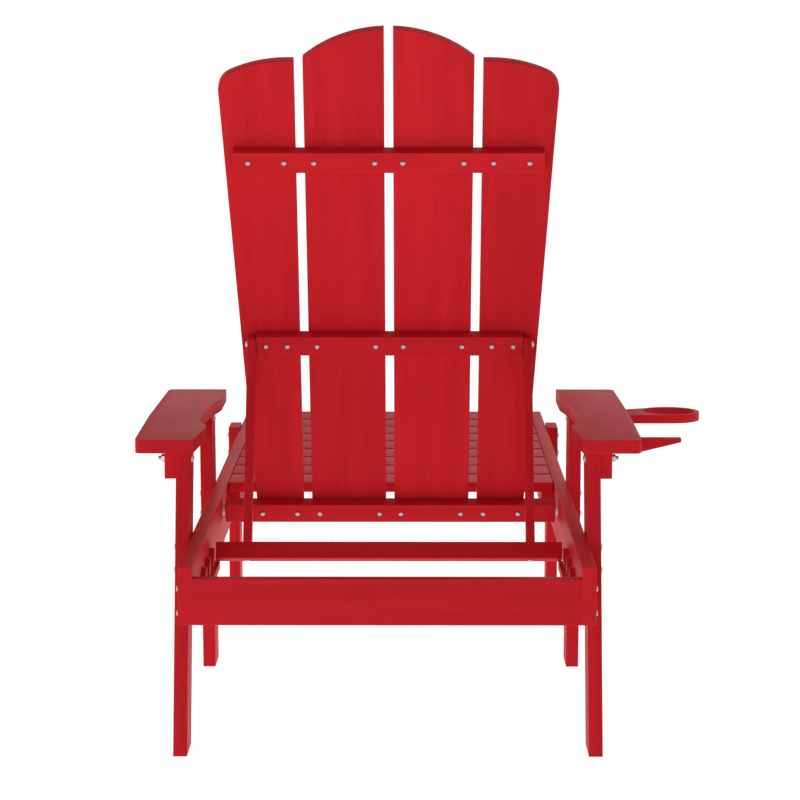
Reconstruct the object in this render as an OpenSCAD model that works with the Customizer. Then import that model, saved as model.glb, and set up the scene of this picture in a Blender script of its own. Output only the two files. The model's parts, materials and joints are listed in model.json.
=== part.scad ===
// Adirondack chaise longue: plank frame on six legs, notched recliner, armrests and a cup ring.
// Millimetres. X is across the chair, +Y points to the foot end, +Z is up.
// The boards are laid out from the centre plane, the floor and the frame's rear end, and
// in_chair() then moves them so that the origin is under the middle of the whole chair.

/* [Boards] */
// Thickness of the frame boards: rails, legs, arms, aprons and cleats
board_t = 21.2; // [18:0.1:24]
// Thickness of the seat and back slats
slat_t = 17; // [14:0.5:18]
// Thickness of the thin stock: prop legs
thin_t = 13.5; // [12:0.5:15]
// Width of the legs
leg_w = 74.5; // [70:0.5:78]

/* [Frame] */
// Length of the side rails
rail_len = 1660; // [1600:1:1700]
// Height of the side rails' boards
rail_h = 86; // [80:1:100]
// Height of the rails' top edge above the floor
seat_top = 318.6; // [308:0.1:328]
// Distance between the outer faces of the legs
leg_span = 650; // [640:1:670]
// Height of the rear apron's board
rear_apron_h = 68; // [60:1:68]

/* [Seat] */
// Number of seat slats
seat_slats = 9; // [7:1:9]
// Width of a seat slat
seat_slat_w = 88; // [80:1:90]
// Gap between seat slats
seat_gap = 11.1; // [8:0.1:12]

/* [Arms] */
// Length of an arm
arm_len = 603; // [580:1:620]
// Width of an arm
arm_w = 100; // [94:1:106]
// Height of the arms' top face
arm_top = 473.8; // [458:0.1:488]
// Depth of the scoop in the arm's inner edge
scoop_depth = 17; // [10:1:20]

/* [Cup holder] */
// Radius of the cup ring's hole
cup_r = 42; // [38:1:44]
// Width of the ring around the hole
cup_wall = 8; // [6:0.5:9]
// Thickness of the ring board
cup_t = 14; // [12:1:18]

/* [Back] */
// Lean of the back from upright, as it stands in the first notch
back_lean = 24.5; // [22:0.1:27]
// Length of the middle slats above the pivot
back_len = 878; // [860:1:900]
// Width of a middle slat
back_slat_w = 125; // [118:1:130]
// Gap between back slats
back_gap = 14; // [10:1:16]
// Half the width of the back at the pivot
back_half_low = 224.5; // [222:0.1:226]
// Growth of that half width for each millimetre above the pivot
back_flare = 0.0503; // [0.046:0.0001:0.056]
// Height of the cleats behind the slats
cleat_h = 35; // [30:1:38]

/* [Prop] */
// Distance from the back's pivot to the prop's pivot, along the back
prop_pivot_up = 328; // [320:1:334]
// Width of the prop's legs and of its foot bar
prop_w = 27; // [24:1:27]
// Distance from the frame's rear end to the foot bar in the first notch
foot_y = 352; // [348:1:356]
// Height of the foot bar's middle
foot_z = 274; // [272:1:278]
// Distance between notches
notch_pitch = 76; // [74:1:77]

/* [Hidden] */
red = [0.73, 0.11, 0.14];
steel = [0.75, 0.75, 0.77];
$fn = 48;
eps = 0.01;
fit = 0.06;            // radial clearance of a bolt in its bore

// Frame
leg_x = leg_span / 2 - board_t;        // inner face of the legs, outer face of the rails
rail_x = leg_x - board_t;              // inner face of the rails
rail_z = seat_top - rail_h;
rear_apron_top = rail_z + rear_apron_h;
slat_top = seat_top - 0.4;
ledger_h = 30;
ledger_t = 21;
slat_end_gap = 1.2;

// Legs: [distance of the rear face from the frame's rear end at the floor, lean in degrees]
rear_leg = [138.8, -11.8];
middle_leg = [724.4, 5.6];
front_leg = [1387, 0];
front_leg_top = seat_top + 5;
arm_z = arm_top - board_t;

// Arms
arm_y = 208;
arm_x = 288;                           // inner edge, towards the front
arm_rear_x = 297;                      // inner corner at the rear
arm_hip_y = 360;                       // where the scoop's slant begins
arm_outer_taper = [4, 2];              // outer edge, nearer the middle at the rear and the front
arm_corner_r = 12;
scoop_r = 1300;
scoop_y = 477;                         // deepest place of the scoop
scoop_slant = [16.5, 56];
arm_cleat_t = 18;
arm_cleat_h = 43;
arm_cleat_y = [233.5, 752];
arm_bolt_drop = 16;

// Cup holder
cup_x = 458;
cup_y = 534;
cup_neck = 22;                         // forward half of the ring's neck at the arm
dowel_r = 4;
dowel_y = [500, 546];
dowel_end = [22, 20];                  // depth in the arm, and in the ring's neck
rest_t = 14;
rest_top = 429.5;
rest_x = [400, 479];                   // where the cup rest's underside begins to rise, and its tip
rest_depth = [26, 7];                  // depth at the root and at the tip

// Back: its own frame has the pivot at its origin, Z along the slats and Y towards the sitter
pivot = [0, 634.2, seat_top - slat_t - board_t / 2 - 0.2];
back_end = -cleat_h / 2 + 1;
crown_r = 203;                         // radius of the middle slats' top
shoulder_top = 825;                    // top of the outer slats
shoulder_r = 205;
shoulder_x = 157;
shoulder_corner_r = 32;
cleat_middle_half = 216.2;
cleat_upper_half = 243;
cleat_lower_half = rail_x - 4.6;
cleat_upper_up = 661;
prop_offset = -3.75;                   // prop pivot, behind the middle of the cleat

// Prop: its own frame has its pivot at the origin and Z up along its legs
prop_x = cleat_middle_half + 0.8;
back_dir = [0, -sin(back_lean), cos(back_lean)];
back_normal = [0, cos(back_lean), sin(back_lean)];
prop_pivot = pivot + prop_pivot_up * back_dir + prop_offset * back_normal;
prop_vec = prop_pivot - [0, foot_y, foot_z];
prop_len = norm(prop_vec);
prop_lean = atan2(prop_vec.y, prop_vec.z);
foot_t = 21.2;

// Notched racks: toothed outer half, and an inner ledge that the foot bar's ends ride over
tooth_t = 8;
rack_t = 14;
rack_sink = 3;
rack_y = [board_t + 0.4, 368];
rack_bottom = 244;
notch_floor = 256;
tooth_top = 283;
tooth_tip = 8;
tooth_ramp = 34;
notches = 5;
first_stop = foot_y - 18;
foot_half = rail_x - tooth_t - 1.2;

// Fasteners
bolt_r = 4;
pin_r = 3.5;
bolt_head_r = 8;
bolt_head_h = 5;
leg_bolt_z = [268, 303];
leg_bolt_end = 5;                      // rail left whole beyond a leg bolt's end
screw_r = 2.1;
screw_head_r = 4;
screw_head_h = 2.4;
screw_tip_gap = 0.5;
ledger_screw_gaps = [2, 4, 6, 8];      // gaps between the seat slats with a ledger screw beside them
upper_screws = [21.8, 117, 163.5, 219.8];
middle_screws = [22.3, 117.6, 165.8, 200.7];
lower_screws = [17.9, 118.5, 156.5, 215];
slat_bite = 12;                        // depth of a screw in a slat
pin_bite = 12;                         // depth of a prop's pivot bolt in the middle cleat
screw_rows = [[0, lower_screws], [prop_pivot_up, middle_screws], [cleat_upper_up, upper_screws]];

// Middle of the chair's outline, which is taken as the origin
arm_edge_x = arm_x + arm_w + 2;         // outer edge of the arms
reach_left = arm_edge_x;
reach_right = cup_x + cup_r + cup_wall;
mid_x = (reach_right - reach_left) / 2;
mid_y = rail_len / 2;

function seat_slat_y(i) = rail_len - board_t - 2.6 - i * seat_slat_w - (i - 1) * seat_gap;
function leg_y(leg, z) = leg[0] - z * tan(leg[1]);
function leg_mid_y(leg, z) = leg_y(leg, z) + leg_w / cos(leg[1]) / 2;
function leg_bolt_spots(leg) = [for (z = leg_bolt_z) [leg_mid_y(leg, z), z]];

module in_chair() {
    translate([-mid_x, -mid_y, 0]) children();
}

module in_back() {
    in_chair() translate(pivot) rotate([back_lean, 0, 0]) children();
}

module in_prop() {
    in_chair() translate(prop_pivot) rotate([-prop_lean, 0, 0]) children();
}

// Side is 1 on the right and -1 on the left
module on_side(side) {
    mirror([side < 0 ? 1 : 0, 0, 0]) children();
}

module box(x, y, z) {
    translate([x[0], y[0], z[0]]) cube([x[1] - x[0], y[1] - y[0], z[1] - z[0]]);
}

// A round bar along X
module rod_x(x, r) {
    translate([x[0], 0, 0]) rotate([0, 90, 0]) cylinder(h = x[1] - x[0], r = r);
}

// A flat outline in Y and Z, made a board that lies from x[0] to x[1]
module board_yz(x) {
    translate([x[0], 0, 0]) rotate([90, 0, 90]) linear_extrude(x[1] - x[0]) children();
}

// ---- Frame ----

module rail(side) {
    color(red) in_chair() on_side(side) difference() {
        box([rail_x, leg_x], [0, rail_len], [rail_z, seat_top]);
        leg_bolt_holes();
        translate(pivot) rod_x([rail_x - 1, leg_x + 1], bolt_r + fit);
        apron_screw_holes();
        ledger_screw_holes();
        rack_screw_holes();
    }
}

module leg_bolt_holes() {
    for (leg = [rear_leg, middle_leg, front_leg], spot = leg_bolt_spots(leg))
        translate([0, spot[0], spot[1]])
            rod_x([rail_x + leg_bolt_end - screw_tip_gap, leg_span / 2 + 1], bolt_r + fit);
}

function apron_screw_spots() = [
    for (y = [board_t / 2, rail_len - board_t / 2], z = [rail_z + 16, rear_apron_top - 16]) [y, z]
];

module apron_screw_holes() {
    for (spot = apron_screw_spots())
        translate([0, spot[0], spot[1]]) rod_x([rail_x - 1, leg_x + 1], screw_r + fit);
}

module apron(y, top) {
    color(red) in_chair() difference() {
        box([-rail_x, rail_x], [y, y + board_t], [rail_z, top]);
        for (side = [-1, 1], spot = apron_screw_spots())
            if (abs(spot[0] - y - board_t / 2) < 1)
                on_side(side) translate([0, spot[0], spot[1]])
                    rod_x([rail_x - 28 - screw_tip_gap, rail_x + 1], screw_r + fit);
    }
}

module leg(side, leg, top) {
    run = leg_w / cos(leg[1]);
    color(red) in_chair() on_side(side) difference() {
        board_yz([leg_x, leg_span / 2]) polygon([
            [leg_y(leg, 0), 0],
            [leg_y(leg, 0) + run, 0],
            [leg_y(leg, top) + run, top],
            [leg_y(leg, top), top]
        ]);
        leg_bolt_holes();
        arm_bolt_holes();
    }
}

// One tooth of the rack: a stop that faces the foot end, and a ramp behind it
module tooth(y) {
    polygon([
        [y, notch_floor - 1],
        [y, tooth_top],
        [y - tooth_tip, tooth_top],
        [y - tooth_tip - tooth_ramp, notch_floor - 1]
    ]);
}

module notch_rack(side) {
    color(red) in_chair() on_side(side) difference() {
        union() {
            board_yz([rail_x - tooth_t, rail_x]) union() {
                translate([rack_y[0], rack_bottom])
                    square([rack_y[1] - rack_y[0], notch_floor - rack_bottom]);
                intersection() {
                    union() {
                        for (i = [0:notches - 1]) tooth(first_stop - i * notch_pitch);
                    }
                    translate([rack_y[0], rack_bottom])
                        square([rack_y[1] - rack_y[0], tooth_top - rack_bottom]);
                }
            }
            box([rail_x - rack_t, rail_x - tooth_t + eps], rack_y, [rack_bottom, notch_floor]);
        }
        rack_screw_holes();
    }
}

function rack_screw_spots() = [
    for (y = [rack_y[0] + 25, (rack_y[0] + rack_y[1]) / 2, rack_y[1] - 25])
        [y, (rack_bottom + notch_floor) / 2]
];

module rack_screw_holes() {
    for (spot = rack_screw_spots())
        translate([0, spot[0], spot[1]]) {
            rod_x([rail_x - rack_t - 1, rail_x + slat_bite + screw_tip_gap], screw_r + fit);
            rod_x([rail_x - rack_t - 1, rail_x - rack_t + rack_sink], screw_head_r + 0.3);
        }
}

// ---- Seat ----

module seat_ledger(side) {
    rear = seat_slat_y(seat_slats) + 2;
    color(red) in_chair() difference() {
        on_side(side) box([rail_x - ledger_t, rail_x], [rear, rail_len - board_t - 0.8],
            [slat_top - slat_t - ledger_h, slat_top - slat_t]);
        seat_screw_spots() translate([0, 0, -1]) cylinder(h = ledger_h + 2, r = screw_r + fit);
        on_side(side) ledger_screw_holes();
    }
}

// Under the ledgers, below each end of each slat
module seat_screw_spots() {
    for (i = [1:seat_slats], side = [-1, 1])
        translate([
            side * (rail_x - ledger_t / 2),
            seat_slat_y(i) + seat_slat_w / 2,
            slat_top - slat_t - ledger_h
        ]) children();
}

function ledger_screw_spots() = [
    for (i = ledger_screw_gaps) [seat_slat_y(i) - seat_gap / 2, slat_top - slat_t - ledger_h / 2]
];

module ledger_screw_holes() {
    for (spot = ledger_screw_spots())
        translate([0, spot[0], spot[1]])
            rod_x([rail_x - ledger_t - 1, rail_x + slat_bite + screw_tip_gap], screw_r + fit);
}

module seat_slat(i) {
    half = rail_x - slat_end_gap;
    color(red) in_chair() difference() {
        box([-half, half], [seat_slat_y(i), seat_slat_y(i) + seat_slat_w],
            [slat_top - slat_t, slat_top]);
        seat_screw_spots() cylinder(h = ledger_h + slat_bite + screw_tip_gap, r = screw_r + fit);
    }
}

// ---- Arms ----

// The arm's outline, seen from above: a long board with a scooped inner edge. The scoop is
// an arc that a short slant closes at the rear.
module arm_outline() {
    outer = arm_edge_x;
    slant = [arm_x, arm_hip_y];
    difference() {
        polygon([
            [arm_rear_x, arm_y],
            [arm_x, arm_hip_y],
            [arm_x, arm_y + arm_len],
            [outer - arm_outer_taper[1], arm_y + arm_len],
            [outer, scoop_y],
            [outer - arm_outer_taper[0], arm_y]
        ]);
        intersection() {
            translate([arm_x + scoop_depth - scoop_r, scoop_y]) circle(r = scoop_r, $fn = 720);
            polygon([
                slant - scoop_slant,
                slant + 2 * scoop_slant,
                [slant.x + 2 * scoop_slant.x, arm_y + arm_len],
                [slant.x - scoop_slant.x, arm_y + arm_len]
            ]);
        }
        translate([outer - arm_outer_taper[0], arm_y]) corner_cut();
        translate([outer - arm_outer_taper[1], arm_y + arm_len]) mirror([0, 1]) corner_cut();
    }
}

// What rounding takes off a corner at the origin, of a board that lies towards -X and +Y
module corner_cut() {
    difference() {
        translate([-arm_corner_r, -1]) square([arm_corner_r + 1, arm_corner_r + 1]);
        translate([-arm_corner_r, arm_corner_r]) circle(r = arm_corner_r);
    }
}

module arm(side) {
    color(red) in_chair() on_side(side) difference() {
        translate([0, 0, arm_z]) linear_extrude(board_t) arm_outline();
        if (side > 0) dowel_holes();
        arm_screw_holes();
    }
}

function arm_bolt_spots() = [
    for (leg = [rear_leg, middle_leg])
        [leg_mid_y(leg, arm_z - arm_bolt_drop), arm_z - arm_bolt_drop]
];

module arm_bolt_holes() {
    for (spot = arm_bolt_spots())
        translate([0, spot[0], spot[1]])
            rod_x([leg_x - 1, leg_span / 2 + arm_cleat_t + 1], pin_r + fit);
}

module arm_cleat(side) {
    color(red) in_chair() on_side(side) difference() {
        box([leg_span / 2, leg_span / 2 + arm_cleat_t], arm_cleat_y, [arm_z - arm_cleat_h, arm_z]);
        arm_bolt_holes();
        arm_screw_holes();
        if (side > 0) rest_screw_holes();
    }
}

// Under the arm cleats: screws that go up into the arms
function arm_screw_ys() = [for (i = [0:2]) arm_cleat_y[0] + 95 + i * 164];

module arm_screw_holes() {
    for (y = arm_screw_ys())
        translate([leg_span / 2 + arm_cleat_t / 2, y, arm_z - arm_cleat_h - 1])
            cylinder(h = arm_cleat_h + slat_bite + 1 + screw_tip_gap, r = screw_r + fit);
}

// ---- Cup holder ----

module cup_ring() {
    outer = cup_r + cup_wall;
    color(red) in_chair() difference() {
        translate([0, 0, arm_top - cup_t]) linear_extrude(cup_t) difference() {
            union() {
                translate([cup_x, cup_y]) circle(r = outer, $fn = 96);
                polygon([
                    [arm_edge_x, cup_y - outer],
                    [cup_x, cup_y - outer],
                    [cup_x, cup_y + outer],
                    [arm_edge_x, cup_y + cup_neck]
                ]);
            }
            translate([cup_x, cup_y]) circle(r = cup_r, $fn = 96);
        }
        dowel_holes();
    }
}

module dowel_holes() {
    for (y = dowel_y)
        translate([0, y, arm_top - cup_t / 2])
            rod_x([arm_edge_x - dowel_end[0] - 0.5, arm_edge_x + dowel_end[1] + 0.5], dowel_r + fit);
}

module cup_dowels() {
    color(red) in_chair()
        for (y = dowel_y)
            translate([0, y, arm_top - cup_t / 2])
                rod_x([arm_edge_x - dowel_end[0], arm_edge_x + dowel_end[1]], dowel_r);
}

// A slim wedge under the ring, which the cup stands on
module cup_rest() {
    root_x = leg_span / 2 + arm_cleat_t;
    color(red) in_chair() difference() {
        translate([0, cup_y + rest_t / 2, 0]) rotate([90, 0, 0]) linear_extrude(rest_t) polygon([
            [root_x, rest_top],
            [rest_x[1], rest_top],
            [rest_x[1], rest_top - rest_depth[1]],
            [rest_x[0], rest_top - rest_depth[0]],
            [root_x, rest_top - rest_depth[0]]
        ]);
        rest_screw_holes();
    }
}

function rest_screw_zs() = [rest_top - 5, rest_top - 13.5];

module rest_screw_holes() {
    for (z = rest_screw_zs())
        translate([0, cup_y, z])
            rod_x([leg_span / 2 - 1, leg_span / 2 + arm_cleat_t + 24 + screw_tip_gap], screw_r + fit);
}

// ---- Back ----

// A middle slat of the back, seen from behind, between x = gap/2 and x = gap/2 + width
module middle_slat_outline() {
    intersection() {
        translate([back_gap / 2, back_end]) square([back_slat_w, back_len - back_end]);
        union() {
            translate([0, back_len - crown_r]) circle(r = crown_r, $fn = 200);
            translate([0, back_end - 1]) square([crown_r, back_len - crown_r - back_end + 1]);
        }
    }
}

// An outer slat: straight inner edge, flared outer edge, and a round shoulder that a smaller
// arc joins to the flared edge. Its centre is on a line beside the edge.
module outer_slat_outline() {
    inner = back_gap * 1.5 + back_slat_w;
    flare = atan(back_flare);
    along = [sin(flare), cos(flare)];
    outward = [cos(flare), -sin(flare)];
    crown = [shoulder_x, shoulder_top - shoulder_r];
    beside = [back_half_low, 0] - shoulder_corner_r * outward - crown;
    reach = -beside * along
        + sqrt(pow(beside * along, 2) - beside * beside + pow(shoulder_r - shoulder_corner_r, 2));
    corner = crown + beside + reach * along;
    radial = (corner - crown) / norm(corner - crown);
    on_edge = corner + shoulder_corner_r * outward;
    on_crown = crown + shoulder_r * radial;
    difference() {
        intersection() {
            polygon([
                [inner, back_end],
                [back_half_low + back_flare * back_end, back_end],
                [back_half_low + back_flare * shoulder_top, shoulder_top],
                [inner, shoulder_top]
            ]);
            union() {
                translate(crown) circle(r = shoulder_r, $fn = 200);
                translate([inner - 1, back_end - 1])
                    square([shoulder_x - inner + 1, shoulder_top - back_end + 2]);
                translate([inner - 1, back_end - 1]) square([200, crown.y - back_end + 1]);
            }
        }
        difference() {
            polygon([
                on_edge,
                on_edge + 30 * outward,
                on_edge + 30 * outward + 60 * along,
                on_crown + 30 * radial,
                on_crown
            ]);
            translate(corner) circle(r = shoulder_corner_r, $fn = 64);
        }
    }
}

// Board of an outline drawn in the back's own X and Z, on the sitter's side of the cleats
module back_board() {
    translate([0, board_t / 2 + slat_t, 0]) rotate([90, 0, 0]) linear_extrude(slat_t) children();
}

module back_slat(i) {
    side = i < 3 ? -1 : 1;
    color(red) in_back() on_side(side) difference() {
        back_board() {
            if (i == 1 || i == 4) outer_slat_outline();
            else middle_slat_outline();
        }
        for (row = screw_rows) translate([0, 0, row[0]]) back_screw_holes(row[1]);
    }
}

module back_screw_holes(xs) {
    for (side = [-1, 1], x = xs)
        translate([side * x, board_t / 2 + slat_bite + screw_tip_gap, 0]) rotate([90, 0, 0])
            cylinder(h = board_t + slat_bite + screw_tip_gap + 1, r = screw_r + fit);
}

module cleat(up, half, xs) {
    translate([0, 0, up]) difference() {
        box([-half, half], [-board_t / 2, board_t / 2], [-cleat_h / 2, cleat_h / 2]);
        back_screw_holes(xs);
    }
}

module back_cleat_upper() {
    color(red) in_back() cleat(cleat_upper_up, cleat_upper_half, upper_screws);
}

module back_cleat_middle() {
    color(red) in_back() difference() {
        cleat(prop_pivot_up, cleat_middle_half, middle_screws);
        for (side = [-1, 1])
            on_side(side) translate([0, prop_offset, prop_pivot_up])
                rod_x([cleat_middle_half - pin_bite - 0.4, cleat_middle_half + 1], pin_r + fit);
    }
}

module back_cleat_lower() {
    color(red) in_back() difference() {
        cleat(0, cleat_lower_half, lower_screws);
        for (side = [-1, 1])
            on_side(side) rod_x([cleat_lower_half - 42, cleat_lower_half + 1], bolt_r + fit);
    }
}

// ---- Prop ----

module prop_leg(side) {
    color(red) in_prop() on_side(side) difference() {
        board_yz([prop_x, prop_x + thin_t]) union() {
            circle(r = prop_w / 2);
            translate([-prop_w / 2, -prop_len + prop_w / 2]) square([prop_w, prop_len - prop_w / 2]);
        }
        rod_x([prop_x - 1, prop_x + thin_t + 1], pin_r + fit);
        prop_screw_hole();
    }
}

module prop_screw_hole() {
    translate([prop_x + thin_t / 2, 0, -prop_len - prop_w]) cylinder(h = prop_w + 44, r = screw_r + fit);
}

module prop_foot_bar() {
    color(red) in_prop() difference() {
        box([-foot_half, foot_half], [-foot_t / 2, foot_t / 2],
            [-prop_len - prop_w / 2, -prop_len + prop_w / 2]);
        for (side = [-1, 1]) on_side(side) prop_screw_hole();
    }
}

// ---- Fasteners ----

// A bolt along X whose domed head stands on the face at x, with its shank towards -X
module bolt(x, length, r, head_r, head_h) {
    rod_x([x - length, x + eps], r);
    translate([x, 0, 0]) rotate([0, 90, 0]) rotate_extrude() intersection() {
        translate([0, 0]) square([head_r, head_h]);
        translate([0, head_h - dome_r(head_r, head_h)]) circle(r = dome_r(head_r, head_h), $fn = 96);
    }
}

function dome_r(head_r, head_h) = (head_r * head_r + head_h * head_h) / (2 * head_h);

// A pan-head screw that points down, with its head's seat at z = 0 and a square drive recess
module screw(length) {
    difference() {
        union() {
            translate([0, 0, -length]) cylinder(h = length + eps, r = screw_r, $fn = 24);
            cylinder(h = screw_head_h / 2, r = screw_head_r, $fn = 32);
            translate([0, 0, screw_head_h / 2])
                cylinder(h = screw_head_h / 2, r1 = screw_head_r, r2 = screw_head_r - 1.2, $fn = 32);
        }
        translate([-1, -1, 1]) cube([2, 2, screw_head_h]);
    }
}

module leg_bolts() {
    color(steel) in_chair()
        for (side = [-1, 1], leg = [rear_leg, middle_leg, front_leg], spot = leg_bolt_spots(leg))
            on_side(side) translate([0, spot[0], spot[1]])
                bolt(leg_span / 2, 2 * board_t - leg_bolt_end, bolt_r, bolt_head_r, bolt_head_h);
}

module arm_bolts() {
    color(steel) in_chair()
        for (side = [-1, 1], spot = arm_bolt_spots())
            on_side(side) translate([0, spot[0], spot[1]]) mirror([1, 0, 0])
                bolt(-leg_x, board_t + arm_cleat_t + 12, pin_r, 7, 4);
}

// Nut and washer on the outer face of the arm cleat
module arm_nuts() {
    face = leg_span / 2 + arm_cleat_t;
    color(steel) in_chair()
        for (side = [-1, 1], spot = arm_bolt_spots())
            on_side(side) translate([0, spot[0], spot[1]]) difference() {
                union() {
                    rod_x([face, face + 1.4], 8);
                    translate([face + 1.4 - eps, 0, 0]) rotate([0, 90, 0])
                        cylinder(h = 6, r = 6.4, $fn = 6);
                }
                rod_x([face - 1, face + 20], pin_r + fit);
            }
}

module back_pivot_bolts() {
    color(steel) in_chair()
        for (side = [-1, 1])
            on_side(side) translate(pivot)
                bolt(leg_x, leg_x - cleat_lower_half + 38, bolt_r, bolt_head_r, bolt_head_h);
}

module back_pivot_washers() {
    color("whitesmoke") in_chair()
        for (side = [-1, 1])
            on_side(side) translate(pivot) difference() {
                rod_x([cleat_lower_half + 0.4, rail_x], 9.5);
                rod_x([cleat_lower_half - 1, rail_x + 1], bolt_r + fit);
            }
}

module prop_pivot_bolts() {
    color(steel) in_back()
        for (side = [-1, 1])
            on_side(side) translate([0, prop_offset, prop_pivot_up])
                bolt(prop_x + thin_t + 0.5, prop_x + thin_t + 0.5 - cleat_middle_half + pin_bite,
                    pin_r, 6.5, 3.5);
}

module prop_screws() {
    color(steel) in_prop()
        for (side = [-1, 1])
            on_side(side) translate([prop_x + thin_t / 2, 0, -prop_len - prop_w / 2])
                mirror([0, 0, 1]) screw(56);
}

module back_screws(row) {
    color(steel) in_back()
        for (side = [-1, 1], x = row[1])
            translate([side * x, -board_t / 2, row[0]]) rotate([90, 0, 0])
                screw(board_t + slat_bite);
}

module seat_screws() {
    color(steel) in_chair() seat_screw_spots() mirror([0, 0, 1]) screw(ledger_h + slat_bite);
}

module ledger_screws() {
    color(steel) in_chair()
        for (side = [-1, 1], spot = ledger_screw_spots())
            on_side(side) translate([rail_x - ledger_t, spot[0], spot[1]])
                rotate([0, -90, 0]) screw(ledger_t + slat_bite);
}

module arm_screws() {
    color(steel) in_chair()
        for (side = [-1, 1], y = arm_screw_ys())
            on_side(side) translate([leg_span / 2 + arm_cleat_t / 2, y, arm_z - arm_cleat_h])
                mirror([0, 0, 1]) screw(arm_cleat_h + slat_bite);
}

module apron_screws() {
    color(steel) in_chair()
        for (side = [-1, 1], spot = apron_screw_spots())
            on_side(side) translate([leg_x, spot[0], spot[1]]) rotate([0, 90, 0]) screw(board_t + 28);
}

// Sunk into the rack's thin ledge, so that the foot bar passes them
module rack_screws() {
    color(steel) in_chair()
        for (side = [-1, 1], spot = rack_screw_spots())
            on_side(side) translate([rail_x - rack_t + rack_sink, spot[0], spot[1]])
                rotate([0, -90, 0]) screw(rack_t - rack_sink + slat_bite);
}

module cup_screws() {
    color(steel) in_chair()
        for (z = rest_screw_zs())
            translate([leg_span / 2, cup_y, z]) rotate([0, -90, 0]) screw(arm_cleat_t + 24);
}

rail(-1);  // rail_left
rail(1);  // rail_right
apron(0, rear_apron_top);  // rear_apron
apron(rail_len - board_t, slat_top);  // front_apron
leg(-1, rear_leg, arm_z);  // rear_leg_left
leg(1, rear_leg, arm_z);  // rear_leg_right
leg(-1, middle_leg, arm_z);  // middle_leg_left
leg(1, middle_leg, arm_z);  // middle_leg_right
leg(-1, front_leg, front_leg_top);  // front_leg_left
leg(1, front_leg, front_leg_top);  // front_leg_right
notch_rack(-1);  // notch_rack_left
notch_rack(1);  // notch_rack_right
seat_ledger(-1);  // seat_ledger_left
seat_ledger(1);  // seat_ledger_right
seat_slat(1);  // seat_slat_1
seat_slat(2);  // seat_slat_2
seat_slat(3);  // seat_slat_3
seat_slat(4);  // seat_slat_4
seat_slat(5);  // seat_slat_5
seat_slat(6);  // seat_slat_6
seat_slat(7);  // seat_slat_7
seat_slat(8);  // seat_slat_8
seat_slat(9);  // seat_slat_9
arm(-1);  // arm_left
arm(1);  // arm_right
arm_cleat(-1);  // arm_cleat_left
arm_cleat(1);  // arm_cleat_right
cup_ring();
cup_rest();
cup_dowels();
back_slat(1);  // back_slat_1
back_slat(2);  // back_slat_2
back_slat(3);  // back_slat_3
back_slat(4);  // back_slat_4
back_cleat_upper();
back_cleat_middle();
back_cleat_lower();
prop_leg(-1);  // prop_leg_left
prop_leg(1);  // prop_leg_right
prop_foot_bar();
leg_bolts();
arm_bolts();
arm_nuts();
back_pivot_bolts();
back_pivot_washers();
prop_pivot_bolts();
prop_screws();
back_screws(screw_rows[2]);  // back_screws_upper
back_screws(screw_rows[1]);  // back_screws_middle
back_screws(screw_rows[0]);  // back_screws_lower
seat_screws();
ledger_screws();
arm_screws();
apron_screws();
rack_screws();
cup_screws();
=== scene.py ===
"""Adirondack chaise longue: red plastic lumber, steel fasteners and a soft studio."""

import json
import math

import bmesh
import bpy
from mathutils import Euler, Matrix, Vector
from mathutils.bvhtree import BVHTree

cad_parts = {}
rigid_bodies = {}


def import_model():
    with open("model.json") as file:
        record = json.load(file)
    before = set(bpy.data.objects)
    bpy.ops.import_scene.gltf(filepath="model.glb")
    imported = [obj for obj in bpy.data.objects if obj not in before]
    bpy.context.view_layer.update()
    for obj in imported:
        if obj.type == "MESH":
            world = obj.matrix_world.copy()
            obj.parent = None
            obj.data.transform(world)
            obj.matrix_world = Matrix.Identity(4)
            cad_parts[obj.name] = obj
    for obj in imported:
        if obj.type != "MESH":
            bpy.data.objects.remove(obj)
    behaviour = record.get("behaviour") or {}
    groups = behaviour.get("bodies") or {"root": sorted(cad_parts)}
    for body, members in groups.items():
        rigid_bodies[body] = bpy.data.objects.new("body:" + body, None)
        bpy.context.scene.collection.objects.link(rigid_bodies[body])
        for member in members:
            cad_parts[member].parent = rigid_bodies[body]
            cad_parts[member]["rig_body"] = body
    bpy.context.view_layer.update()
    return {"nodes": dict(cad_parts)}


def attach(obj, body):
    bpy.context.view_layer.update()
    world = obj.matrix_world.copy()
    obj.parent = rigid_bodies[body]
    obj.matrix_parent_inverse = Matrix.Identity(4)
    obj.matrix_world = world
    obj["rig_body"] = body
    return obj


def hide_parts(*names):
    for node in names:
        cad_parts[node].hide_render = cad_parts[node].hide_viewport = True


bl_info = {
    "name": "Adirondack chaise longue",
    "version": (1, 0, 0),
    "blender": (4, 5, 0),
    "location": "View3D > Sidebar > Chaise",
    "description": "Finishes the boards and fasteners of a reclining chaise longue",
    "category": "Object",
}

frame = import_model()

# Boards by the direction their grain runs in, and their tilt about X from that direction
BACK_TILT = 24.5
REAR_LEG_TILT = -11.83
MIDDLE_LEG_TILT = 5.6
PROP_TILT = -24.47
GRAIN_GROUPS = (
    # material, axis of the grain, tilt in degrees, starts of the nodes' names
    ("lumber_across", "X", 0.0, ("seat_slat", "rear_apron", "front_apron")),
    ("lumber_across_back", "X", BACK_TILT, ("back_cleat",)),
    ("lumber_across_prop", "X", PROP_TILT, ("prop_foot_bar",)),
    ("lumber_along", "Y", 0.0, ("rail_", "notch_rack", "seat_ledger", "arm_left", "arm_right", "arm_cleat")),
    ("lumber_cup", "X", 0.0, ("cup_ring", "cup_rest", "cup_dowels")),
    ("lumber_upright", "Z", 0.0, ("front_leg",)),
    ("lumber_rear_leg", "Z", REAR_LEG_TILT, ("rear_leg",)),
    ("lumber_middle_leg", "Z", MIDDLE_LEG_TILT, ("middle_leg",)),
    ("lumber_back", "Z", BACK_TILT, ("back_slat",)),
    ("lumber_prop", "Z", PROP_TILT, ("prop_leg",)),
)
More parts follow.
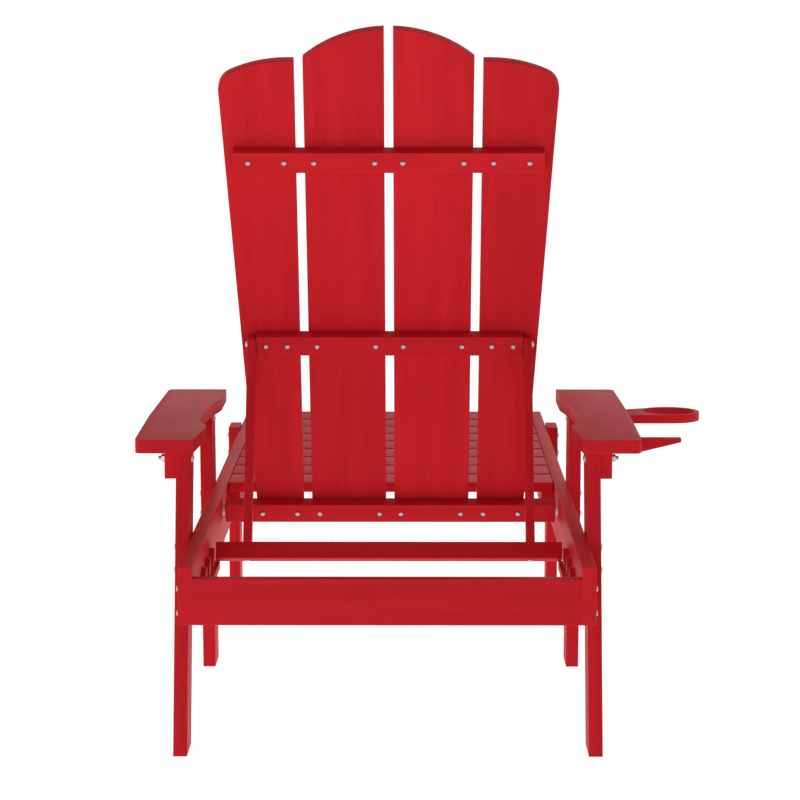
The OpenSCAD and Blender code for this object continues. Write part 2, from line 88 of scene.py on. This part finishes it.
THIN_EDGES = ("cup_ring", "cup_rest")
BOARD_SEGMENTS = 4
FASTENER_SEGMENTS = 2
KEPT_BORES = ("notch_rack", "cup_dowels")
WASHERS = ("back_pivot_washers",)
FASTENERS = (
    "leg_bolts", "arm_bolts", "arm_nuts", "back_pivot_bolts", "prop_pivot_bolts",
    "prop_screws", "back_screws_upper", "back_screws_middle", "back_screws_lower",
    "seat_screws", "ledger_screws", "arm_screws", "apron_screws", "rack_screws", "cup_screws",
)


class LumberSettings(bpy.types.PropertyGroup):
    """Finish of the red boards."""

    colour: bpy.props.FloatVectorProperty(
        name="Colour",
        description="Colour of the plastic lumber",
        subtype="COLOR",
        size=3,
        min=0.0,
        max=1.0,
        default=(0.60, 0.015, 0.022),
    )
    streak_colour: bpy.props.FloatVectorProperty(
        name="Streak colour",
        description="Colour of the darker streaks along the grain",
        subtype="COLOR",
        size=3,
        min=0.0,
        max=1.0,
        default=(0.45, 0.009, 0.014),
    )
    scuff_colour: bpy.props.FloatVectorProperty(
        name="Scuff colour",
        description="Colour of the rubbed edges",
        subtype="COLOR",
        size=3,
        min=0.0,
        max=1.0,
        default=(0.72, 0.045, 0.05),
    )
    roughness: bpy.props.FloatProperty(
        name="Roughness", description="Roughness of the faces", min=0.0, max=1.0, default=0.46
    )
    edge_radius: bpy.props.FloatProperty(
        name="Edge radius",
        description="Radius of the boards' rounded edges",
        subtype="DISTANCE",
        unit="LENGTH",
        min=0.0,
        max=0.004,
        default=0.001,
    )
    thin_edge_radius: bpy.props.FloatProperty(
        name="Thin edge radius",
        description="Radius of the edges of the ring and of the small parts",
        subtype="DISTANCE",
        unit="LENGTH",
        min=0.0,
        max=0.003,
        default=0.0008,
    )
    grain_depth: bpy.props.FloatProperty(
        name="Grain depth",
        description="Depth of the embossed grain",
        subtype="DISTANCE",
        unit="LENGTH",
        min=0.0,
        max=0.002,
        default=0.0003,
    )


class SteelSettings(bpy.types.PropertyGroup):
    """Finish of the bolts, nuts and screws."""

    colour: bpy.props.FloatVectorProperty(
        name="Colour",
        description="Colour of the fasteners' steel",
        subtype="COLOR",
        size=3,
        min=0.0,
        max=1.0,
        default=(0.62, 0.62, 0.64),
    )
    edge_radius: bpy.props.FloatProperty(
        name="Edge radius",
        description="Radius of the fasteners' edges",
        subtype="DISTANCE",
        unit="LENGTH",
        min=0.0,
        max=0.001,
        default=0.0003,
    )


class StageSettings(bpy.types.PropertyGroup):
    """Camera, floor and light."""

    camera_place: bpy.props.FloatVectorProperty(
        name="Camera place",
        description="Where the camera stands",
        subtype="TRANSLATION",
        unit="LENGTH",
        size=3,
        default=(-0.0255, -4.5622, 1.0577),
    )
    camera_pitch: bpy.props.FloatProperty(
        name="Camera pitch",
        description="How far the camera looks down",
        subtype="ANGLE",
        unit="ROTATION",
        default=math.radians(5.808),
    )
    camera_turn: bpy.props.FloatProperty(
        name="Camera turn",
        description="How far the camera turns to the left",
        subtype="ANGLE",
        unit="ROTATION",
        default=math.radians(0.2244),
    )
    camera_focus: bpy.props.FloatProperty(
        name="Focal length",
        description="Focal length on a 36 mm sensor, in millimetres",
        min=1.0,
        default=117.8,
    )
    camera_shift: bpy.props.FloatProperty(
        name="Vertical shift", description="Vertical shift of the lens", default=-0.1
    )
    floor_colour: bpy.props.FloatVectorProperty(
        name="Floor colour",
        description="Colour of the floor",
        subtype="COLOR",
        size=3,
        min=0.0,
        max=1.0,
        default=(0.3, 0.3, 0.3),
    )
    floor_glow: bpy.props.FloatProperty(
        name="Floor glow", description="Light that comes up through the floor", min=0.0, default=0.93
    )
    key_power: bpy.props.FloatProperty(
        name="Key light", description="Power of the large light, in watts", min=0.0, default=34.0
    )
    sky: bpy.props.FloatProperty(
        name="Room", description="Strength of the soft light from the room", min=0.0, default=1.0
    )
    rear_wall: bpy.props.FloatProperty(
        name="Rear wall", description="Brightness of the wall behind the camera", min=0.0, default=0.5
    )
    ceiling: bpy.props.FloatProperty(
        name="Ceiling", description="Brightness of the ceiling in front", min=0.0, default=0.9
    )


# ---- Node helpers ----


def new_material(name):
    """An empty node material with its Principled shader."""
    made = bpy.data.materials.new(name)
    made.use_nodes = True
    nodes = made.node_tree.nodes
    return made, nodes, made.node_tree.links, nodes["Principled BSDF"]


def add(nodes, kind, **values):
    """A shader node with its settings and unlinked inputs filled in."""
    node = nodes.new(kind)
    for key, value in values.items():
        if hasattr(node, key):
            setattr(node, key, value)
        else:
            node.inputs[key.replace("_", " ")].default_value = value
    return node


def ramp(nodes, stops):
    """A colour ramp with these (place, grey or colour) stops."""
    node = nodes.new("ShaderNodeValToRGB")
    while len(node.color_ramp.elements) < len(stops):
        node.color_ramp.elements.new(0.5)
    for element, (place, value) in zip(node.color_ramp.elements, stops):
        element.position = place
        colour = (value,) * 3 if isinstance(value, (int, float)) else tuple(value)
        element.color = (*colour, 1.0)
    return node


def math_node(nodes, links, operation, first, second):
    """A maths node fed by sockets or plain numbers."""
    node = nodes.new("ShaderNodeMath")
    node.operation = operation
    for socket, value in zip(node.inputs, (first, second)):
        if isinstance(value, (int, float)):
            socket.default_value = value
        else:
            links.new(value, socket)
    return node.outputs[0]


def mix_colour(nodes, links, share, first, second):
    """A mix of two colours, given as sockets or as plain colours."""
    node = nodes.new("ShaderNodeMix")
    node.data_type = "RGBA"
    for socket, value in ((node.inputs[0], share), (node.inputs[6], first), (node.inputs[7], second)):
        if isinstance(value, (int, float)):
            socket.default_value = value
        elif isinstance(value, (tuple, list)):
            socket.default_value = (*value, 1.0)
        else:
            links.new(value, socket)
    return node.outputs[2]


def spread(nodes, links, source, start, end, low=0.0, high=1.0):
    """A value that goes from low to high while the source goes from start to end."""
    node = nodes.new("ShaderNodeMapRange")
    for key, value in (("From Min", start), ("From Max", end), ("To Min", low), ("To Max", high)):
        node.inputs[key].default_value = value
    links.new(source, node.inputs["Value"])
    return node.outputs[0]


EDGE_SAMPLES = 4
EDGE_FACING = 0.90                      # rounded normal against the plain one, on an edge
FACE_FACING = 0.998                     # and on a face


def edge_mask(nodes, links, radius):
    """1 on the edges of a piece and 0 on its faces."""
    rounded = add(nodes, "ShaderNodeBevel", samples=EDGE_SAMPLES, Radius=radius)
    plain = nodes.new("ShaderNodeNewGeometry")
    dot = nodes.new("ShaderNodeVectorMath")
    dot.operation = "DOT_PRODUCT"
    links.new(rounded.outputs[0], dot.inputs[0])
    links.new(plain.outputs["Normal"], dot.inputs[1])
    return spread(nodes, links, dot.outputs["Value"], FACE_FACING, EDGE_FACING)


def emboss(nodes, links, shader, height, strength, depth):
    """Raises the surface by a height map."""
    bump = add(nodes, "ShaderNodeBump", Strength=strength, Distance=depth)
    links.new(height, bump.inputs["Height"])
    links.new(bump.outputs[0], shader.inputs["Normal"])


def even_noise(nodes, links, scale, detail):
    """Noise in the piece's own coordinates, alike in every direction."""
    place = nodes.new("ShaderNodeTexCoord")
    noise = add(nodes, "ShaderNodeTexNoise", Scale=scale, Detail=detail)
    links.new(place.outputs["Object"], noise.inputs["Vector"])
    return noise.outputs["Fac"]


# Turns that bring each axis of the grain to X, in degrees
GRAIN_TURN = {"X": (0.0, 0.0, 0.0), "Y": (0.0, 0.0, -90.0), "Z": (0.0, 90.0, 0.0)}
BOARD_SHIFT = (7.0, 3.0, 5.0)           # metres, times each board's random number


def grain_space(nodes, links, axis, tilt):
    """Coordinates whose X runs along the grain, moved by a different amount for each board."""
    place = nodes.new("ShaderNodeTexCoord")
    level = nodes.new("ShaderNodeMapping")
    level.inputs["Rotation"].default_value = Euler((-math.radians(tilt), 0.0, 0.0))
    links.new(place.outputs["Object"], level.inputs["Vector"])
    turn = nodes.new("ShaderNodeMapping")
    turn.inputs["Rotation"].default_value = Euler([math.radians(a) for a in GRAIN_TURN[axis]])
    links.new(level.outputs[0], turn.inputs["Vector"])
    about = nodes.new("ShaderNodeObjectInfo")
    shift = nodes.new("ShaderNodeVectorMath")
    shift.operation = "MULTIPLY_ADD"
    links.new(about.outputs["Random"], shift.inputs[0])
    shift.inputs[1].default_value = BOARD_SHIFT
    links.new(turn.outputs[0], shift.inputs[2])
    return shift.outputs[0], about.outputs["Random"]


# Layers of noise: times finer across the grain, scale, detail, roughness, distortion
STREAKS = (14.0, 3.2, 6.0, 0.6, 0.4)
CLOUD = (2.0, 2.2, 3.0, 0.55, 0.0)
GRAIN = (26.0, 16.0, 5.0, 0.62, 0.3)
PORES = (9.0, 120.0, 3.0, 0.55, 0.0)
SPECKS = (1.0, 900.0, 2.0, 0.55, 0.0)


def stretched_noise(nodes, links, space, layer):
    """Noise drawn out along the grain."""
    finer, scale, detail, roughness, distortion = layer
    size = nodes.new("ShaderNodeVectorMath")
    size.operation = "MULTIPLY"
    size.inputs[1].default_value = (1.0, finer, finer)
    links.new(space, size.inputs[0])
    noise = add(
        nodes, "ShaderNodeTexNoise", Scale=scale, Detail=detail, Roughness=roughness, Distortion=distortion
    )
    links.new(size.outputs[0], noise.inputs["Vector"])
    return noise.outputs["Fac"]


def scaled(nodes, links, source, share, offset=0.0):
    """The source times a share, plus an offset."""
    part = math_node(nodes, links, "MULTIPLY", source, share)
    return math_node(nodes, links, "ADD", part, offset) if offset else part


STREAK_STOPS = [(0.38, 0.0), (0.72, 1.0)]
STREAK_SHARE = 0.5
GROOVE_STOPS = [(0.3, 1.0), (0.5, 0.0)]
GROOVE_SHARE = 0.35
BOARD_TONES = (0.10, 0.95)              # spread of brightness from board to board, and its least
CLOUD_TONES = (0.16, 0.92)              # and within a board
RUB_REACH = 0.003
RUB_SHARE = 0.7
SMOOTHER = 0.06                         # how far roughness dips under its setting
ROUGHER = 0.12                          # and rises over it
PORE_HEIGHT = 0.25                      # as a share of the grain's height
SPECK_HEIGHT = 0.06
GRAIN_STRENGTH = 0.55
LUMBER_GLOSS = 0.05


def lumber_colour(nodes, links, space, each, grain, look):
    """Red with darker streaks and grooves, uneven tone and lighter rubbed edges."""
    cloud = stretched_noise(nodes, links, space, CLOUD)
    colour = tuple(look.colour)
    for source, stops, share in (
        (stretched_noise(nodes, links, space, STREAKS), STREAK_STOPS, STREAK_SHARE),
        (grain, GROOVE_STOPS, GROOVE_SHARE),
    ):
        dark = ramp(nodes, stops)
        links.new(source, dark.inputs[0])
        part = scaled(nodes, links, dark.outputs[0], share)
        colour = mix_colour(nodes, links, part, colour, tuple(look.streak_colour))
    tone = nodes.new("ShaderNodeHueSaturation")
    links.new(colour, tone.inputs["Color"])
    varied = scaled(nodes, links, each, *BOARD_TONES)
    clouded = scaled(nodes, links, cloud, *CLOUD_TONES)
    links.new(math_node(nodes, links, "MULTIPLY", varied, clouded), tone.inputs["Value"])
    edges = edge_mask(nodes, links, RUB_REACH)
    rubbed = math_node(nodes, links, "MULTIPLY", edges, scaled(nodes, links, cloud, RUB_SHARE))
    return mix_colour(nodes, links, rubbed, tone.outputs[0], tuple(look.scuff_colour))


def lumber_material(name, axis, tilt, look):
    """Red plastic lumber with embossed grain along one axis, faint streaks and rubbed edges."""
    made, nodes, links, shader = new_material(name)
    space, each = grain_space(nodes, links, axis, tilt)
    grain = stretched_noise(nodes, links, space, GRAIN)
    colour = lumber_colour(nodes, links, space, each, grain, look)
    links.new(colour, shader.inputs["Base Color"])
    smooth, rough = look.roughness - SMOOTHER, look.roughness + ROUGHER
    links.new(spread(nodes, links, grain, 0.0, 1.0, smooth, rough), shader.inputs["Roughness"])
    height = grain
    for layer, share in ((PORES, PORE_HEIGHT), (SPECKS, SPECK_HEIGHT)):
        finer = scaled(nodes, links, stretched_noise(nodes, links, space, layer), share)
        height = math_node(nodes, links, "ADD", height, finer)
    emboss(nodes, links, shader, height, GRAIN_STRENGTH, look.grain_depth)
    shader.inputs["Specular IOR Level"].default_value = LUMBER_GLOSS
    return made


RIM_REACH = 0.0006
STEEL_NOISE = (420.0, 4.0)              # scale and detail
STEEL_SHADE = (0.42, 0.42, 0.45)
STEEL_RIM = (0.8, 0.8, 0.82)
STEEL_RIM_SHARE = 0.5
STEEL_ROUGHNESS = (0.22, 0.42)
STEEL_RELIEF = (0.2, 0.00005)           # strength and depth


def steel_material(look):
    """Plain stainless steel, a little uneven and lighter on its edges."""
    made, nodes, links, shader = new_material("fastener_steel")
    noise = even_noise(nodes, links, *STEEL_NOISE)
    tint = mix_colour(nodes, links, noise, tuple(look.colour), STEEL_SHADE)
    edges = scaled(nodes, links, edge_mask(nodes, links, RIM_REACH), STEEL_RIM_SHARE)
    links.new(mix_colour(nodes, links, edges, tint, STEEL_RIM), shader.inputs["Base Color"])
    links.new(spread(nodes, links, noise, 0.0, 1.0, *STEEL_ROUGHNESS), shader.inputs["Roughness"])
    shader.inputs["Metallic"].default_value = 1.0
    emboss(nodes, links, shader, noise, *STEEL_RELIEF)
    return made


NYLON_NOISE = (160.0, 4.0)              # scale and detail
NYLON = (0.86, 0.86, 0.84)
NYLON_DIRT = (0.74, 0.73, 0.70)
NYLON_RIM = (0.90, 0.90, 0.89)
NYLON_ROUGHNESS = (0.38, 0.55)
NYLON_RELIEF = (0.15, 0.0001)           # strength and depth


def washer_material():
    """White nylon with faint dirt."""
    made, nodes, links, shader = new_material("washer_nylon")
    noise = even_noise(nodes, links, *NYLON_NOISE)
    edges = edge_mask(nodes, links, RIM_REACH)
    body = mix_colour(nodes, links, noise, NYLON, NYLON_DIRT)
    links.new(mix_colour(nodes, links, edges, body, NYLON_RIM), shader.inputs["Base Color"])
    links.new(spread(nodes, links, noise, 0.0, 1.0, *NYLON_ROUGHNESS), shader.inputs["Roughness"])
    emboss(nodes, links, shader, noise, *NYLON_RELIEF)
    return made


FLOOR_NOISE = (2.0, 3.0)                # scale and detail
FLOOR_MOTTLE = 0.985
FLOOR_ROUGHNESS = 0.9
FLOOR_GLOSS = 0.1


def floor_material(look):
    """Matt pale floor, faintly mottled, that glows."""
    made, nodes, links, shader = new_material("studio_floor")
    noise = even_noise(nodes, links, *FLOOR_NOISE)
    darker = tuple(FLOOR_MOTTLE * c for c in look.floor_colour)
    colour = mix_colour(nodes, links, noise, tuple(look.floor_colour), darker)
    links.new(colour, shader.inputs["Base Color"])
    shader.inputs["Roughness"].default_value = FLOOR_ROUGHNESS
    shader.inputs["Specular IOR Level"].default_value = FLOOR_GLOSS
    shader.inputs["Emission Color"].default_value = (1.0, 1.0, 1.0, 1.0)
    shader.inputs["Emission Strength"].default_value = look.floor_glow
    return made


# ---- Piece helpers ----

WELD_DISTANCE = 0.00001
EDGE_ANGLE = math.radians(30)
FLAT_ANGLE = math.radians(0.3)
HOLE_REACH = 0.0045                     # from a fastener's surface to its bore's wall, at most
PLANE_REACH = 0.00002                   # how far a plane's corners may lie off it
SAME_WAY = 0.9                          # least dot product of two normals of one plane
TINY_AREA = 1e-9                        # a face too small for its normal to be relied on


def fastener_tree():
    """The surfaces of everything that sits in a bore."""
    points, faces = [], []
    for node in FASTENERS + ("cup_dowels",):
        mesh = frame["nodes"][node].data
        first = len(points)
        points += [v.co.copy() for v in mesh.vertices]
        faces += [[first + v for v in face.vertices] for face in mesh.polygons]
    return BVHTree.FromPolygons(points, faces)


def planes_of(faces):
    """The number of the plane that each face lies in."""
    found, planes = {}, []
    for face in sorted(faces, key=lambda f: -f.calc_area()):
        for number, (normal, reach) in enumerate(planes):
            off = max(abs(normal.dot(v.co) - reach) for v in face.verts)
            if off < PLANE_REACH and (normal.dot(face.normal) > SAME_WAY or face.calc_area() < TINY_AREA):
                found[face] = number
                break
        else:
            planes.append((face.normal.copy(), face.normal.dot(face.verts[0].co)))
            found[face] = len(planes) - 1
    return found


def loops_of(edges):
    """The closed loops of corners that these pairs of corners make."""
    beside = {}
    for a, b in edges:
        beside.setdefault(a, []).append(b)
        beside.setdefault(b, []).append(a)
    loops = []
    while beside:
        start = next(iter(beside))
        loop, last = [start], start
        while True:
            ways = [v for v in beside[last] if v in beside and v not in loop[-2:]]
            if not ways or ways[0] is start:
                break
            last = ways[0]
            loop.append(last)
        for corner in loop:
            beside.pop(corner)
        loops.append(loop)
    return loops


def whole_board(node, tree):
    """A copy of a board whose bores, which the fasteners' heads cover, are filled in."""
    cad = frame["nodes"][node]
    shape = bmesh.new()
    shape.from_mesh(cad.data)
    bmesh.ops.remove_doubles(shape, verts=shape.verts, dist=WELD_DISTANCE)
    shape.normal_update()
    in_bore = {v for v in shape.verts if tree.find_nearest(v.co, HOLE_REACH)[0] is not None}
    planes = planes_of(shape.faces)
    bored = {
        plane for face, plane in planes.items()
        if 0 < sum(v in in_bore for v in face.verts) < len(face.verts)
    }
    borders = {plane: [] for plane in bored}
    for edge in shape.edges:
        if in_bore.isdisjoint(edge.verts):
            sides = {planes[face] for face in edge.link_faces}
            if len(sides) == 2:
                for plane in sides & bored:
                    borders[plane].append(tuple(edge.verts))
    cut = [face for face, plane in planes.items() if plane in bored]
    bmesh.ops.delete(shape, geom=cut, context="FACES_ONLY")
    bmesh.ops.delete(shape, geom=list(in_bore), context="VERTS")
    for plane in sorted(borders):
        for loop in loops_of(borders[plane]):
            shape.faces.new(loop)
    loose = [edge for edge in shape.edges if edge.is_wire]
    bmesh.ops.delete(shape, geom=loose, context="EDGES")
    if any(not edge.is_manifold for edge in shape.edges):
        raise RuntimeError(f"{node}: the copy isn't closed")
    bmesh.ops.dissolve_limit(
        shape, angle_limit=FLAT_ANGLE, verts=list(shape.verts), edges=list(shape.edges)
    )
    bmesh.ops.recalc_face_normals(shape, faces=shape.faces)
    for face in shape.faces:
        face.smooth = True
    mesh = bpy.data.meshes.new(f"{node}_board")
    shape.to_mesh(mesh)
    shape.free()
    board = bpy.data.objects.new(f"{node}_board", mesh)
    bpy.context.scene.collection.objects.link(board)
    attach(board, cad["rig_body"])
    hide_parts(node)
    return board


def round_edges(piece, radius, segments):
    """Rounds the sharp edges of a piece."""
    bevel = piece.modifiers.new("edges", "BEVEL")
    bevel.width = radius
    bevel.segments = segments
    bevel.limit_method = "ANGLE"
    bevel.angle_limit = EDGE_ANGLE
    bevel.miter_outer = "MITER_ARC"
    bevel.use_clamp_overlap = True
    bevel.harden_normals = True


def join_faces(piece):
    """Joins the faces of a CAD node at its corners."""
    piece.modifiers.new("join", "WELD").merge_threshold = WELD_DISTANCE


def dress(piece, material):
    """Gives a piece one material."""
    piece.data.materials.clear()
    piece.data.materials.append(material)


class CHAISE_OT_lumber(bpy.types.Operator):
    """Round the boards' edges and finish them as red plastic lumber"""

    bl_idname = "chaise.lumber"
    bl_label = "Boards"

    def execute(self, context):
        look = context.scene.chaise_lumber
        left = {n for n in frame["nodes"] if n not in FASTENERS + WASHERS}
        tree = fastener_tree()
        for name, axis, tilt, starts in GRAIN_GROUPS:
            material = lumber_material(name, axis, tilt, look)
            for node in sorted(n for n in left if n.startswith(starts)):
                if node.startswith(KEPT_BORES):
                    piece = frame["nodes"][node]
                    join_faces(piece)
                else:
                    piece = whole_board(node, tree)
                    thin = node.startswith(THIN_EDGES)
                    round_edges(piece, look.thin_edge_radius if thin else look.edge_radius, BOARD_SEGMENTS)
                dress(piece, material)
                left.discard(node)
        if left:
            raise RuntimeError(f"boards without a finish: {sorted(left)}")
        return {"FINISHED"}


class CHAISE_OT_fasteners(bpy.types.Operator):
    """Finish the bolts, nuts and screws as stainless steel"""

    bl_idname = "chaise.fasteners"
    bl_label = "Bolts, nuts and screws"

    def execute(self, context):
        look = context.scene.chaise_steel
        material = steel_material(look)
        for node in FASTENERS:
            join_faces(frame["nodes"][node])
            round_edges(frame["nodes"][node], look.edge_radius, FASTENER_SEGMENTS)
            dress(frame["nodes"][node], material)
        return {"FINISHED"}


class CHAISE_OT_washers(bpy.types.Operator):
    """Finish the washers of the back's pivots as white nylon"""

    bl_idname = "chaise.washers"
    bl_label = "Washers"

    def execute(self, context):
        material = washer_material()
        for node in WASHERS:
            join_faces(frame["nodes"][node])
            round_edges(frame["nodes"][node], context.scene.chaise_steel.edge_radius, FASTENER_SEGMENTS)
            dress(frame["nodes"][node], material)
        return {"FINISHED"}


FLOOR_REACH = 40.0
WALL_SPAN = (-0.7, 0.5)                 # from the wall behind the camera to the one in front
FRONT_WALL = 0.85
CEILING_SPAN = (-0.6, 0.6)              # from the dark end of the ceiling to the bright one
CEILING_HEIGHT = 0.8
SENSOR_WIDTH = 36.0
CLIP = (0.1, 200.0)
LIGHTS = (
    # name, place, aimed at, width, share of the key light's power
    ("key_light", (-0.9, -5.2, 0.95), (0.0, 0.0, 0.5), 1.8, 1.0),
    ("top_light", (0.5, 0.2, 3.6), (0.0, 0.2, 0.3), 3.0, 0.12),
)


class CHAISE_OT_stage(bpy.types.Operator):
    """Build the floor, the lights and the camera"""

    bl_idname = "chaise.stage"
    bl_label = "Stage"

    def execute(self, context):
        look = context.scene.chaise_stage
        scene = context.scene
        self.build_floor(scene, look)
        self.build_light(scene, look)
        self.build_camera(scene, look)
        return {"FINISHED"}

    def build_floor(self, scene, look):
        """A flat floor that reaches far behind the chair."""
        mesh = bpy.data.meshes.new("floor")
        corners = [(x * FLOOR_REACH, y * FLOOR_REACH, 0) for x, y in ((-1, -1), (1, -1), (1, 1), (-1, 1))]
        mesh.from_pydata(corners, [], [(0, 1, 2, 3)])
        floor = bpy.data.objects.new("floor", mesh)
        scene.collection.objects.link(floor)
        mesh.materials.append(floor_material(look))

    def build_light(self, scene, look):
        """A white room that is brighter in front, and two soft lights."""
        world = bpy.data.worlds.new("studio")
        world.use_nodes = True
        nodes, links = world.node_tree.nodes, world.node_tree.links
        room = nodes["Background"]
        room.inputs["Strength"].default_value = look.sky
        direction = nodes.new("ShaderNodeTexCoord")
        parts = nodes.new("ShaderNodeSeparateXYZ")
        links.new(direction.outputs["Generated"], parts.inputs[0])
        walls = spread(nodes, links, parts.outputs["Y"], *WALL_SPAN, look.rear_wall, FRONT_WALL)
        ceiling = spread(nodes, links, parts.outputs["Y"], *CEILING_SPAN, 0.0, look.ceiling)
        height = spread(nodes, links, parts.outputs["Z"], 0.0, CEILING_HEIGHT)
        links.new(mix_colour(nodes, links, height, walls, ceiling), room.inputs["Color"])
        backdrop = nodes.new("ShaderNodeBackground")
        backdrop.inputs["Color"].default_value = (1.0, 1.0, 1.0, 1.0)
        seen = nodes.new("ShaderNodeLightPath")
        either = nodes.new("ShaderNodeMixShader")
        links.new(seen.outputs["Is Camera Ray"], either.inputs[0])
        links.new(room.outputs[0], either.inputs[1])
        links.new(backdrop.outputs[0], either.inputs[2])
        links.new(either.outputs[0], nodes["World Output"].inputs["Surface"])
        scene.world = world
        scene.view_settings.view_transform = "Standard"
        for name, place, aim, width, share in LIGHTS:
            data = bpy.data.lights.new(name, "AREA")
            data.shape = "SQUARE"
            data.size = width
            data.energy = look.key_power * share
            light = bpy.data.objects.new(name, data)
            light.location = place
            light.rotation_euler = (Vector(aim) - Vector(place)).to_track_quat("-Z", "Y").to_euler()
            scene.collection.objects.link(light)

    def build_camera(self, scene, look):
        """A long lens behind the chair, a little above the back's top."""
        data = bpy.data.cameras.new("camera")
        data.lens = look.camera_focus
        data.sensor_width = SENSOR_WIDTH
        data.shift_y = look.camera_shift
        data.clip_start, data.clip_end = CLIP
        camera = bpy.data.objects.new("camera", data)
        camera.location = look.camera_place
        camera.rotation_euler = (math.pi / 2 - look.camera_pitch, 0.0, look.camera_turn)
        scene.collection.objects.link(camera)
        scene.camera = camera


class CHAISE_PT_panel(bpy.types.Panel):
    """The chaise's pieces and stage"""

    bl_idname = "CHAISE_PT_panel"
    bl_label = "Chaise longue"
    bl_space_type = "VIEW_3D"
    bl_region_type = "UI"
    bl_category = "Chaise"

    def draw(self, context):
        for settings in (
            context.scene.chaise_lumber, context.scene.chaise_steel, context.scene.chaise_stage
        ):
            for key in settings.__annotations__:
                self.layout.prop(settings, key)
        for operator in OPERATORS:
            self.layout.operator(operator.bl_idname)


SETTINGS = (
    ("chaise_lumber", LumberSettings),
    ("chaise_steel", SteelSettings),
    ("chaise_stage", StageSettings),
)
OPERATORS = (CHAISE_OT_lumber, CHAISE_OT_fasteners, CHAISE_OT_washers, CHAISE_OT_stage)
CLASSES = tuple(kind for _, kind in SETTINGS) + OPERATORS + (CHAISE_PT_panel,)


def register():
    for kind in CLASSES:
        bpy.utils.register_class(kind)
    for name, kind in SETTINGS:
        setattr(bpy.types.Scene, name, bpy.props.PointerProperty(type=kind))


def unregister():
    for name, _ in SETTINGS:
        delattr(bpy.types.Scene, name)
    for kind in reversed(CLASSES):
        bpy.utils.unregister_class(kind)


def main():
    register()
    bpy.ops.chaise.lumber()
    bpy.ops.chaise.fasteners()
    bpy.ops.chaise.washers()
    bpy.ops.chaise.stage()


if __name__ == "__main__":
    main()
